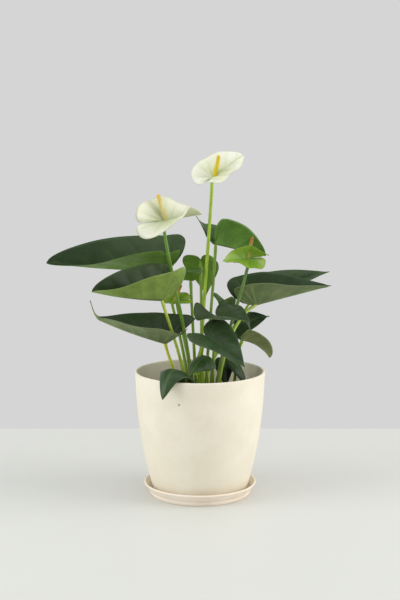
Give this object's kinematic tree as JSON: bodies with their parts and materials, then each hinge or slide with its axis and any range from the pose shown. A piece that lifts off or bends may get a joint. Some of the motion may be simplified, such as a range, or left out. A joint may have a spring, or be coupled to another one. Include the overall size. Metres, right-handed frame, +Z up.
{
  "type": "potted anthurium",
  "caption": "Young potted anthurium: dark heart-shaped leaves and ivory spathes with yellow spadices, in a tapered cream pot on a saucer.",
  "frame": {"origin": "centre of the saucer's flat underside, on the surface the plant stands on", "axes": "+Z up; +X to the right and +Y away, seen from the plant's front"},
  "size_m": [0.3143, 0.1589, 0.3692],
  "materials": {
    "pot_plastic": "satin moulded cream, faintly speckled",
    "potting_mix": "dark loose bark and peat, matt",
    "leaf": "waxy dark green above, paler green below, pale veins",
    "young_leaf": "fresh light green, waxy",
    "stem": "smooth yellow-green stalk, slightly glossy",
    "spathe": "waxy ivory white, greenish towards the stalk",
    "spathe_green": "waxy yellow-green, unripe",
    "spadix": "fine beaded yellow, cream at the foot",
    "spadix_green": "fine beaded amber over green"
  },
  "bodies": {
    "root": {"pot": "pot_plastic", "saucer": "pot_plastic", "potting_mix": "potting_mix", "leaf_left_upper": "leaf", "petiole_left_upper": "stem", "leaf_left_middle": "leaf", "petiole_left_middle": "stem", "leaf_left_lower": "leaf", "petiole_left_lower": "stem", "leaf_centre_back": "leaf", "petiole_centre_back": "stem", "leaf_rear_hanging": "leaf", "petiole_rear_hanging": "stem", "leaf_right_top": "leaf", "petiole_right_top": "stem", "leaf_right_large": "leaf", "petiole_right_large": "stem", "leaf_right_rear": "leaf", "petiole_right_rear": "stem", "leaf_centre_small": "leaf", "petiole_centre_small": "stem", "leaf_centre_folded": "leaf", "petiole_centre_folded": "stem", "leaf_front_large": "leaf", "petiole_front_large": "stem", "leaf_right_pale": "leaf", "petiole_right_pale": "stem", "leaf_right_dark": "leaf", "petiole_right_dark": "stem", "leaf_front_small": "leaf", "petiole_front_small": "stem", "leaf_low_centre": "leaf", "petiole_low_centre": "stem", "leaf_low_right": "leaf", "petiole_low_right": "stem", "leaf_furled": "young_leaf", "petiole_furled": "stem", "leaf_over_rim": "leaf", "petiole_over_rim": "stem", "spathe_tall": "spathe", "spadix_tall": "spadix", "peduncle_tall": "stem", "spathe_left": "spathe", "spadix_left": "spadix", "peduncle_left": "stem", "spathe_right": "spathe_green", "spadix_right": "spadix_green", "peduncle_right": "stem", "spathe_young": "spathe_green", "spadix_young": "spadix_green", "peduncle_young": "stem"}
  },
  "joints": []
}
